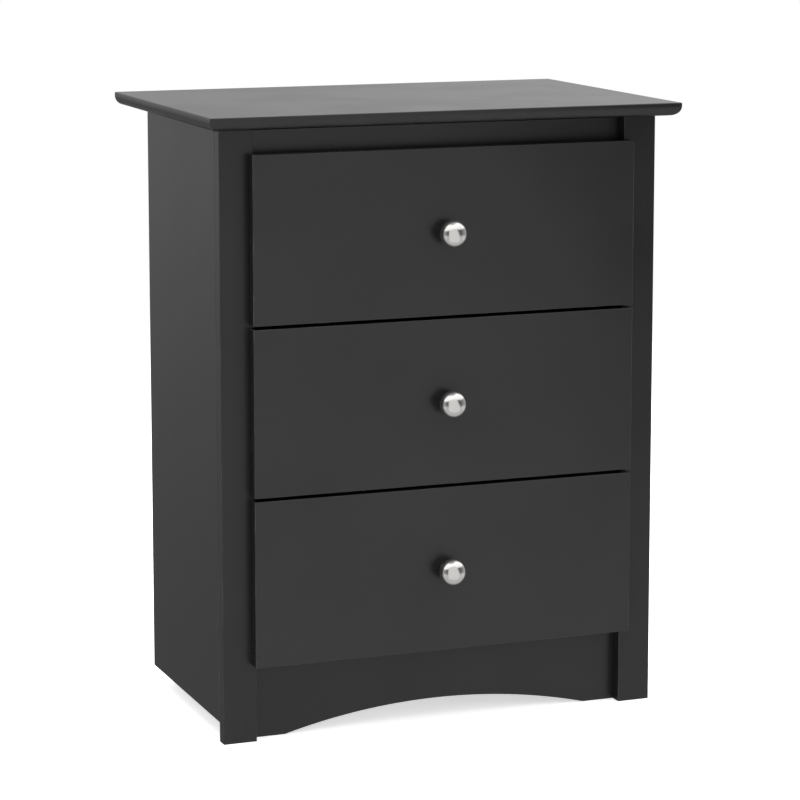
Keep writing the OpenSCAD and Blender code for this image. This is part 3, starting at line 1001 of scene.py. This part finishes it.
def knob_outline(radius, length):
    """Foot, neck, round underside of the cap, its widest band and the dome."""
    foot = [(0, 0)] + arc(KNOB_FOOT - FOOT_EDGE, FOOT_EDGE_AT, FOOT_EDGE, FOOT_EDGE,
                          -90, 90, 6)
    neck = arc(KNOB_NECK + NECK_HOLLOW, NECK_AT, NECK_HOLLOW, NECK_HOLLOW, 270, 180, 7)
    under = arc(KNOB_NECK, length - CAP_BACK, radius - KNOB_NECK, CAP_ROUND, -90, 0, 14)
    dome = arc(0, length - CAP_DOME, radius, CAP_DOME, 0, 90, 24)
    return foot + neck + under + dome


def build_knob(drawer):
    low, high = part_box(f"{drawer}_knob")
    radius = (high.x - low.x) / 2
    centre = ((low.x + high.x) / 2, high.y, (low.z + high.z) / 2)
    piece = turned(f"{drawer}_knob_turned", knob_outline(radius, high.y - low.y),
                   centre, (0, -1, 0), steps=96)
    return fit(piece, drawer, "brushed_nickel", f"{drawer}_knob")


knobs = [build_knob(drawer) for drawer in DRAWERS]
print([len(piece.data.polygons) for piece in knobs])

# %% [markdown]
# ## Drawer boxes
# Behind each front is a box of two sides and a back in thinner board, with a hardboard
# bottom that slides in a groove. The sides are grooved on their inner faces and bored
# for the cams that pull the front on; a screw's head sits flush in each outer face.

# %% Drawer boxes

BOX_EASE = 0.5 * MM
SHEET_EASE = 0.25 * MM
CAM_ACROSS = 12 * MM
SCREW_HEAD_ACROSS = 6.8 * MM
HEAD_PLAY = 0.1 * MM
HEAD_SEAT = 4 * MM
PAST_THE_END = 20 * MM


def is_about(value, target, room=0.25 * MM):
    return abs(value - target) < room


def fixings(drawer, across):
    """Those of a drawer's fixings that lie along X and measure this much across."""
    return [(low, high) for low, high in solids(f"{drawer}_fixings")
            if is_about((high - low).y, across) and is_about((high - low).z, across)]


def build_box_side(drawer, side):
    low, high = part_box(f"{drawer}_{side}_side")
    piece = board(f"{drawer}_{side}_side_board", low, high)
    band_edges(piece, 0, foil, foil)
    bottom_low, bottom_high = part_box(f"{drawer}_bottom")
    room = Vector((GROOVE_PLAY, PAST_THE_END, GROOVE_PLAY))
    cut(piece, board("groove", bottom_low - room, bottom_high + room))
    seat_cams(piece, fixings(drawer, CAM_ACROSS))
    outer = low.x if side == "left" else high.x
    for screw_low, screw_high in fixings(drawer, SCREW_HEAD_ACROSS):
        at = (screw_low + screw_high) / 2
        if at.x * outer > 0:
            cut(piece, drum((outer, at.y, at.z), SCREW_HEAD_ACROSS / 2 + HEAD_PLAY,
                            HEAD_SEAT, 0))
    return ease_and_fit(piece, BOX_EASE, 2, drawer, "drawer_board", f"{drawer}_{side}_side")


def build_box_back(drawer):
    piece = board(f"{drawer}_back_board", *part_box(f"{drawer}_back"))
    band_edges(piece, 1, foil, foil)
    return ease_and_fit(piece, BOX_EASE, 2, drawer, "drawer_board", f"{drawer}_back")


def build_box_bottom(drawer):
    piece = board(f"{drawer}_bottom_sheet", *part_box(f"{drawer}_bottom"))
    two_finishes(piece, printed_hardboard, hardboard,
                 lambda centre, normal: normal.z < 0.7)
    return ease_and_fit(piece, SHEET_EASE, 1, drawer, "drawer_hardboard",
                        f"{drawer}_bottom")


for drawer in DRAWERS:
    sides = [build_box_side(drawer, side) for side in SIDES]
    build_box_back(drawer)
    build_box_bottom(drawer)
    print(drawer, "cams", len(fixings(drawer, CAM_ACROSS)),
          "screws", len(fixings(drawer, SCREW_HEAD_ACROSS)),
          "faces of a side", len(sides[0].data.polygons))

# %% [markdown]
# ## Back panel and battens
# The back panel is a thin hardboard sheet, nailed into the rabbets. Its printed face
# looks into the case. The battens carry the runners out to the inner edges of the
# stiles: three planed strips on each side, their arrises broken with a stroke of
# sandpaper.

# %% Back panel and battens

BACK_EASE = 0.3 * MM
BATTEN_EASE = 1.2 * MM


def build_back_panel():
    piece = board("hardboard_back", *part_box("back_panel"))
    two_finishes(piece, hardboard, printed_hardboard,
                 lambda centre, normal: normal.y < -0.7)
    return ease_and_fit(piece, BACK_EASE, 1, "case", "back_hardboard", "back_panel")


def build_battens(side):
    strips = []
    for low, high in solids(f"{side}_runner_cleats"):
        strip = board("batten", low, high)
        ease(strip, BATTEN_EASE, 3)
        smooth(strip)
        strips.append(strip)
    piece = joined(f"{side}_battens", strips)
    return fit(piece, "case", "batten_wood", f"{side}_runner_cleats")


back_panel = build_back_panel()
battens = [build_battens(side) for side in SIDES]
print([len(piece.data.polygons) for piece in battens])

# %% [markdown]
# ## Folded runners
# A runner is one strip of steel, folded along its length. It is drawn as its outline,
# one line through the middle of the sheet, pulled out to its length, its folds are
# rounded with a bevel, and only then the line gets its thickness. That is the order of
# the real work too, and it keeps the sheet the same thickness round each bend.

# %% Helper that folds sheet steel

SHEET = 1.2 * MM
BEND = 1.1 * MM


def face_outwards():
    """In edit mode, turns every face outwards, then goes back to object mode."""
    bpy.ops.mesh.select_all(action="SELECT")
    bpy.ops.mesh.normals_make_consistent(inside=False)
    leave()


def folded(name, profile, start, end):
    """Sheet steel folded along (x, z) points and running from start to end along Y."""
    piece = drawn_line(name, [Vector((x, start, z)) for x, z in profile])
    bpy.ops.mesh.extrude_region_move(
        TRANSFORM_OT_translate={"value": (0, end - start, 0)})
    face_outwards()
    folds = profile[1:-1]

    def is_fold(middle, run):
        return abs(run.y) > 0.9 and any(
            is_about(middle.x, x) and is_about(middle.z, z) for x, z in folds)

    pick_edges(piece, is_fold)
    bpy.ops.mesh.bevel(offset=BEND, offset_type="OFFSET", segments=5, affect="EDGES")
    leave()
    only(piece)
    thick = piece.modifiers.new("sheet", "SOLIDIFY")
    thick.thickness = SHEET
    thick.offset = 0
    thick.use_even_offset = True
    bpy.ops.object.modifier_apply(modifier=thick.name)
    bpy.ops.object.mode_set(mode="EDIT")
    face_outwards()
    return piece


# %% [markdown]
# An axle is a small turned pin. Its foot is pressed into the runner, a shoulder keeps
# the roller off the steel, and once the roller is on, the far end is upset to a head.

# %% Helper that rivets an axle

AXLE_FOOT = 0.3 * MM  # how deep it is pressed in
SHOULDER_RADIUS = 4 * MM
PIN_RADIUS = 2.5 * MM
HEAD_RADIUS = 3.9 * MM
HEAD_FLAT = 3.5 * MM
HEAD_ROUND = 0.45 * MM
SHOULDER_GAP = 0.1 * MM
HEAD_GAP = 0.2 * MM


def riveted_axle(roller, web):
    """The axle from a web's face through a roller, with its shoulder and its upset head."""
    low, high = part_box(roller)
    away = 1 if abs(web - low.x) < abs(web - high.x) else -1
    near, far = (low.x, high.x) if away > 0 else (high.x, low.x)
    shoulder = abs(near - web) - SHOULDER_GAP
    head = abs(far - web) + HEAD_GAP
    outline = [(0, -AXLE_FOOT), (SHOULDER_RADIUS, -AXLE_FOOT), (SHOULDER_RADIUS, shoulder),
               (PIN_RADIUS, shoulder), (PIN_RADIUS, head), (HEAD_RADIUS, head)]
    outline += arc(HEAD_FLAT, head + HEAD_ROUND, HEAD_ROUND, HEAD_ROUND, 0, 90, 4)
    outline += [(0, head + 2 * HEAD_ROUND)]
    centre = (web, (low.y + high.y) / 2, (low.z + high.z) / 2)
    return turned("axle", outline, centre, (away, 0, 0), steps=32)


# %% [markdown]
# The cabinet member is a channel: a web with a flange below that the drawer's roller
# runs on, and a flange above that keeps the drawer from tipping. The upper flange starts
# further back, where the drawer's roller is let in. The drawer member is a Z: a lip
# under the drawer side, a web beside it, and a track on top.

# %% Runners and their axles

FLANGE = 10 * MM
UPPER_FLANGE_FROM = 32 * MM
TRACK_OUT = 8.6 * MM
HALF_SHEET = SHEET / 2
STEEL_EASE = 0.15 * MM
RUNNER_HEAD_ACROSS = 5.2 * MM
RUNNER_SCREW_LEAST = 12 * MM


def sink_screws(piece, node, where):
    """Bores a runner for the countersunk heads among a node's screws that pass the test."""
    for low, high in solids(node):
        if where(low, high):
            size = high - low
            long = max(range(3), key=lambda i: size[i])
            across = [size[i] for i in range(3) if i != long]
            cut(piece, drum((low + high) / 2, max(across) / 2 + SEAT_PLAY,
                            size[long] + 2 * MM, long, sides=32))


def build_channel(drawer, side):
    """The cabinet member of one drawer on one side, and its axle."""
    out = -1 if side == "left" else 1
    roller = f"{drawer}_{side}_cabinet_roller"
    roller_low, roller_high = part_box(roller)
    level = (roller_low.z + roller_high.z) / 2
    low, high = next(box for box in solids(f"{side}_cabinet_runners")
                     if box[0].z < level < box[1].z)
    web = (low.x if out < 0 else high.x) - out * HALF_SHEET
    edge = web - out * (FLANGE - HALF_SHEET)
    foot, head = low.z + HALF_SHEET, high.z - HALF_SHEET
    channel = folded("channel", [(edge, foot), (web, foot), (web, head), (edge, head)],
                     low.y, high.y)
    xs = sorted((web - out * SHEET, edge - out * MM))
    cut(channel, board("relief", (xs[0], low.y - MM, high.z - 2 * SHEET),
                       (xs[1], low.y + UPPER_FLANGE_FROM, high.z + MM)))
    sink_screws(channel, "runner_screws",
                lambda a, b: (a.x + b.x) * out > 0 and low.z < (a.z + b.z) / 2 < high.z)
    ease(channel, STEEL_EASE, 1)
    smooth(channel)
    return [channel, riveted_axle(roller, web - out * HALF_SHEET)]


def build_cabinet_runners(side):
    solid_parts = [part for drawer in DRAWERS for part in build_channel(drawer, side)]
    piece = joined(f"{side}_cabinet_channels", solid_parts)
    return fit(piece, "case", "runner_steel", f"{side}_cabinet_runners")


def build_drawer_runner(drawer, side):
    out = -1 if side == "left" else 1
    node = f"{drawer}_{side}_runner"
    low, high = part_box(node)
    box_low, box_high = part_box(f"{drawer}_{side}_side")
    beside = (box_low.x if out < 0 else box_high.x) + out * HALF_SHEET
    lip = high.x if out < 0 else low.x
    track = beside + out * (TRACK_OUT + HALF_SHEET - SHEET)
    foot, head = low.z + HALF_SHEET, high.z - HALF_SHEET
    member = folded("member", [(lip, foot), (beside, foot), (beside, head), (track, head)],
                    low.y, high.y)
    sink_screws(member, f"{drawer}_fixings",
                lambda a, b: (a.x + b.x) * out > 0
                and is_about((b - a).x, RUNNER_HEAD_ACROSS)
                and (b - a).z > RUNNER_SCREW_LEAST)
    ease(member, STEEL_EASE, 1)
    smooth(member)
    axle = riveted_axle(f"{drawer}_{side}_roller", beside + out * HALF_SHEET)
    piece = joined(f"{drawer}_{side}_runner_member", [member, axle])
    return fit(piece, drawer, "runner_steel", node)


cabinet_runners = [build_cabinet_runners(side) for side in SIDES]
drawer_runners = [build_drawer_runner(drawer, side)
                  for drawer in DRAWERS for side in SIDES]
print([len(piece.data.polygons) for piece in cabinet_runners + drawer_runners[:2]])

# %% [markdown]
# ## Rollers
# Twelve nylon rollers, all the same moulding: a rounded tread, a hub, a thinner web
# between them and six ribs on each face of the web. One is turned and ribbed at its
# place, and the others are copies, each moved into place with its own mesh.

# %% Rollers

HUB, TREAD, BORE = 5 * MM, 8 * MM, 2.55 * MM
DISH = 1 * MM
TREAD_ROUND = 0.7 * MM
RIBS = 6
RIB_HALF = 0.4 * MM
RIB_BELOW = 0.25 * MM  # how far a rib stays below the hub's face
RIB_INTO = 0.3 * MM  # how far it runs into the hub and the tread
RIB_EASE = 0.12 * MM


def roller_outline(radius, width):
    """A closed outline from the bore round the hub, the web and the tread."""
    near = arc(radius - TREAD_ROUND, TREAD_ROUND, TREAD_ROUND, TREAD_ROUND, -90, 0, 5)
    far = arc(radius - TREAD_ROUND, width - TREAD_ROUND, TREAD_ROUND, TREAD_ROUND, 0, 90, 5)
    return ([(BORE, 0), (HUB, 0), (HUB, DISH), (TREAD, DISH), (TREAD, 0)] + near + far
            + [(TREAD, width), (TREAD, width - DISH), (HUB, width - DISH), (HUB, width),
               (BORE, width), (BORE, 0)])


def build_first_roller(node):
    low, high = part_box(node)
    centre = Vector((low.x, (low.y + high.y) / 2, (low.z + high.z) / 2))
    radius, width = (high.z - low.z) / 2, high.x - low.x
    parts = [turned("roller", roller_outline(radius, width), centre, (1, 0, 0), steps=48)]
    for number in range(RIBS):
        rib = board("rib", (centre.x + RIB_BELOW, centre.y - RIB_HALF,
                            centre.z + HUB - RIB_INTO),
                    (centre.x + width - RIB_BELOW, centre.y + RIB_HALF,
                     centre.z + TREAD + RIB_INTO))
        ease(rib, RIB_EASE, 1)
        bpy.ops.object.mode_set(mode="EDIT")
        bpy.ops.mesh.select_all(action="SELECT")
        bpy.ops.transform.rotate(value=2 * math.pi * number / RIBS, orient_axis="X",
                                 center_override=centre)
        leave()
        parts.append(rib)
    return joined("roller", parts), (low + high) / 2


def place_rollers():
    names = [f"{drawer}_{side}_{kind}" for drawer in DRAWERS for side in SIDES
             for kind in ("roller", "cabinet_roller")]
    first, here = build_first_roller(names[0])
    made = []
    for node in names:
        low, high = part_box(node)
        piece = bpy.data.objects.new(f"{node}_moulding", first.data.copy())
        bpy.context.collection.objects.link(piece)
        piece.location = (low + high) / 2 - here
        settle(piece)
        made.append(fit(piece, node, "white_nylon", node))
    bpy.data.objects.remove(first)
    return made


rollers = place_rollers()
print(len(rollers), "rollers with", len(rollers[0].data.polygons), "faces each")

# %% [markdown]
# ## Rear feet
# The case stands at the front on its stiles and at the back on two plastic feet, which
# are moulded as a cone on a flange.

# %% Rear feet

FOOT_ROUND = 1.5 * MM
FOOT_BORE = 5 * MM
FOOT_BORE_DEEP = 11 * MM
# The outside as (in from the widest radius, height): first up from the floor, then
# down from the top, in millimetres
FOOT_CONE = ((0, 5), (4, 9))
FOOT_COLLAR = ((5, 3), (2, 0))


def build_feet():
    feet = []
    for low, high in solids("rear_feet"):
        radius, height = (high.x - low.x) / 2, high.z - low.z
        outline = ([(0, FOOT_BORE_DEEP), (FOOT_BORE, FOOT_BORE_DEEP), (FOOT_BORE, 0)]
                   + arc(radius - FOOT_ROUND, FOOT_ROUND, FOOT_ROUND, FOOT_ROUND, -90, 0, 6)
                   + [(radius - inwards * MM, up * MM) for inwards, up in FOOT_CONE]
                   + [(radius - inwards * MM, height - down * MM)
                      for inwards, down in FOOT_COLLAR]
                   + [(0, height)])
        centre = ((low.x + high.x) / 2, (low.y + high.y) / 2, low.z)
        feet.append(turned("foot", outline, centre, (0, 0, 1), steps=64))
    return fit(joined("plastic_feet", feet), "case", "foot_plastic", "rear_feet")


feet = build_feet()
print(feet.name, len(feet.data.polygons), "faces")

# %% [markdown]
# ## Stage and light
# Plain studio: a pale floor, one large soft light at the front right and a wide one
# overhead, in a pale room. Dark satin board shows the room more than it shows its own
# colour, so the room is a soft gradient by direction and not one grey: a long soft box
# above the camera, dim walls in front beside a white card, and a back wall that is
# brighter above the horizon. The camera itself sees plain white.

# %% Floor

FLOOR_FADE_FROM = 1.5
FLOOR_FADE_TO = 3.4
FLOOR_RADIUS = 6
FLOOR_BELOW = 0.2 * MM
FLOOR_DARK = (0.86, 0.86, 0.86)
FLOOR_LIGHT = (0.9, 0.9, 0.9)
FLOOR_LIT = 0.6  # lit from below like a light table, so that only a trace of shadow stays


def build_floor():
    bpy.ops.object.select_all(action="DESELECT")
    bpy.ops.mesh.primitive_circle_add(vertices=96, radius=FLOOR_RADIUS, fill_type="NGON",
                                      location=(0, 0, cad_low.z - FLOOR_BELOW))
    floor = settle(bpy.context.active_object)
    floor.name = floor.data.name = "studio_floor"
    made, tree, shader = finish("pale floor", specular=0.2)
    where = place(tree, "ShaderNodeTexCoord").outputs["Object"]
    away = place(tree, "ShaderNodeVectorMath", {0: where}, operation="LENGTH").outputs[1]
    paper = noise(tree, where, 300.0, Detail=3.0)
    tree.links.new(mix(tree, paper, FLOOR_DARK, FLOOR_LIGHT), shader["Base Color"])
    tree.links.new(between(tree, away, FLOOR_FADE_FROM, FLOOR_FADE_TO, 1.0, 0.0),
                   shader["Alpha"])
    shader["Roughness"].default_value = 0.8
    shader["Emission Color"].default_value = (1.0, 1.0, 1.0, 1.0)
    shader["Emission Strength"].default_value = FLOOR_LIT
    floor.data.materials.append(made)
    floor.visible_glossy = False
    return floor


floor = build_floor()
print(floor.name, "is", 2 * FLOOR_RADIUS, "m across")

# %% [markdown]
# Two area lights do what the room can't: the key light models the knobs and the right
# flank, and the wide one overhead lights the top. Mirrored in the satin board they would
# be two bright patches, so they light it without showing in its reflections.

# %% Lights


def soft_light(name, at, aim, width, height, watts):
    """A rectangular soft light at a place, turned to a point, unseen in reflections."""
    lamp = bpy.data.lights.new(name, "AREA")
    lamp.shape = "RECTANGLE"
    lamp.size = width
    lamp.size_y = height
    lamp.energy = watts
    light = bpy.data.objects.new(name, lamp)
    light.location = at
    direction = Vector(aim) - Vector(at)
    light.rotation_euler = direction.to_track_quat("-Z", "Y").to_euler()
    light.visible_glossy = False
    bpy.context.collection.objects.link(light)
    return light


key_light = soft_light("key_light", at=(2.1, -2.5, 0.75), aim=(0, -0.1, 0.42),
                       width=0.9, height=1.2, watts=34)
overhead = soft_light("overhead_light", at=(-0.2, 0.2, 2.9), aim=(0, 0, 0.4),
                      width=2.6, height=2.6, watts=95)
print([(light.name, light.data.energy) for light in (key_light, overhead)])

# %% [markdown]
# In a studio, dark furniture gets its sheen from a white card: the fronts mirror it
# and look evenly grey. The card stands at the front, and its right edge leans inwards,
# so the sheen fades towards the upper right. It shows in reflections only. It goes on
# below the floor, because what faces forward is seen from above and mirrors downwards.

# %% White card

CARD_AT = -1.35
CARD_CORNERS = ((-0.85, -1.1), (1.40, -1.1), (0.42, 1.15), (-0.85, 1.15))
CARD_GLOW = 0.82
CARD_GREY, CARD_WHITE = (0.95, 0.95, 0.95), (1.0, 1.0, 1.0)


def build_card():
    piece = drawn_line("studio_card", [Vector((x, CARD_AT, z)) for x, z in CARD_CORNERS])
    bpy.ops.mesh.edge_face_add()
    leave()
    made, tree, shader = finish("white card", specular=0.0)
    paper = place(tree, "ShaderNodeTexNoise", {"Scale": 3.0}).outputs["Fac"]
    tree.links.new(mix(tree, paper, CARD_GREY, CARD_WHITE), shader["Emission Color"])
    shader["Base Color"].default_value = (0, 0, 0, 1)
    shader["Emission Strength"].default_value = CARD_GLOW
    piece.data.materials.append(made)
    piece.visible_camera = piece.visible_shadow = False
    return piece


card = build_card()
print("card faces", len(card.data.polygons))

# %% [markdown]
# The room is a world whose brightness depends on direction alone. Looked at from the
# piece, X, Y and Z of that direction say right, back and up, and each wall is one span
# of them: dim in front and brighter at its sides, pale paper below, a bright back wall,
# a grey ceiling, and above the camera a soft box whose lower edge is slightly arched.

# %% Room by direction

SIDE_SPAN = (0.70, 0.97)
FRONT_DIM, SIDE_WALL = 0.07, 0.32
PAPER_SPAN = (-0.34, -0.08)
PAPER = 0.5
BACK_SPAN = (0.28, 0.47)
BACK_LEFT, BACK_RIGHT = 0.66, 0.86
BACK_RISE = (-0.25, 0.05)
BACK_LOW = 0.30
FRONT_TO_BACK = (-0.25, 0.35)
BOX_FROM, BOX_TO = (0.44, 0.51), (0.9, 0.97)
BOX_ARCH = 0.14
BOX_DEPTH = (0.1, 0.5)
BOX_GLOW = 1.0
CEILING_SPAN = (0.2, 0.9)
CEILING = 0.3


def wall_light(tree, x, y, z):
    """The front wall with its side walls and paper, and the back wall behind."""
    sideways = arithmetic(tree, "ABSOLUTE", x)
    front_wall = between(tree, sideways, *SIDE_SPAN, FRONT_DIM, SIDE_WALL)
    front_wall = plus(tree, front_wall, between(tree, z, *PAPER_SPAN, PAPER, 0.0))
    back_glow = between(tree, x, *BACK_SPAN, BACK_LEFT, BACK_RIGHT)
    back_wall = times(tree, back_glow, between(tree, z, *BACK_RISE, BACK_LOW, 1.0))
    turned_back = between(tree, y, *FRONT_TO_BACK)
    return plus(tree, times(tree, back_wall, turned_back),
                times(tree, front_wall, arithmetic(tree, "SUBTRACT", 1.0, turned_back)))


def light_above(tree, x, y, z):
    """The ceiling, and the long soft box above the camera."""
    arched = plus(tree, z, times(tree, arithmetic(tree, "ABSOLUTE", x), BOX_ARCH))
    box = times(tree, between(tree, arched, *BOX_FROM),
                between(tree, z, *BOX_TO, BOX_GLOW, 0.0))
    box = times(tree, box, between(tree, y, *BOX_DEPTH, 1.0, 0.0))
    return plus(tree, between(tree, z, *CEILING_SPAN, 0.0, CEILING), box)


def build_room():
    """A world that is this room for the lights and plain white for the camera."""
    world = bpy.data.worlds.new("studio room")
    bpy.context.scene.world = world
    world.use_nodes = True
    tree = world.node_tree
    tree.nodes.clear()
    look = place(tree, "ShaderNodeTexCoord").outputs["Generated"]
    x, y, z = place(tree, "ShaderNodeSeparateXYZ", {0: look}).outputs
    strength = plus(tree, wall_light(tree, x, y, z), light_above(tree, x, y, z))
    room, white = (place(tree, "ShaderNodeBackground",
                         {"Color": (1, 1, 1, 1), "Strength": glow}).outputs[0]
                   for glow in (strength, 1.0))
    seen = place(tree, "ShaderNodeLightPath").outputs["Is Camera Ray"]
    both = place(tree, "ShaderNodeMixShader", {0: seen, 1: room, 2: white}).outputs[0]
    place(tree, "ShaderNodeOutputWorld", {"Surface": both})
    return world


room = build_room()
bpy.context.scene.view_settings.view_transform = "Standard"
bpy.context.scene.view_settings.look = "None"
print(room.name, len(room.node_tree.nodes), "nodes")
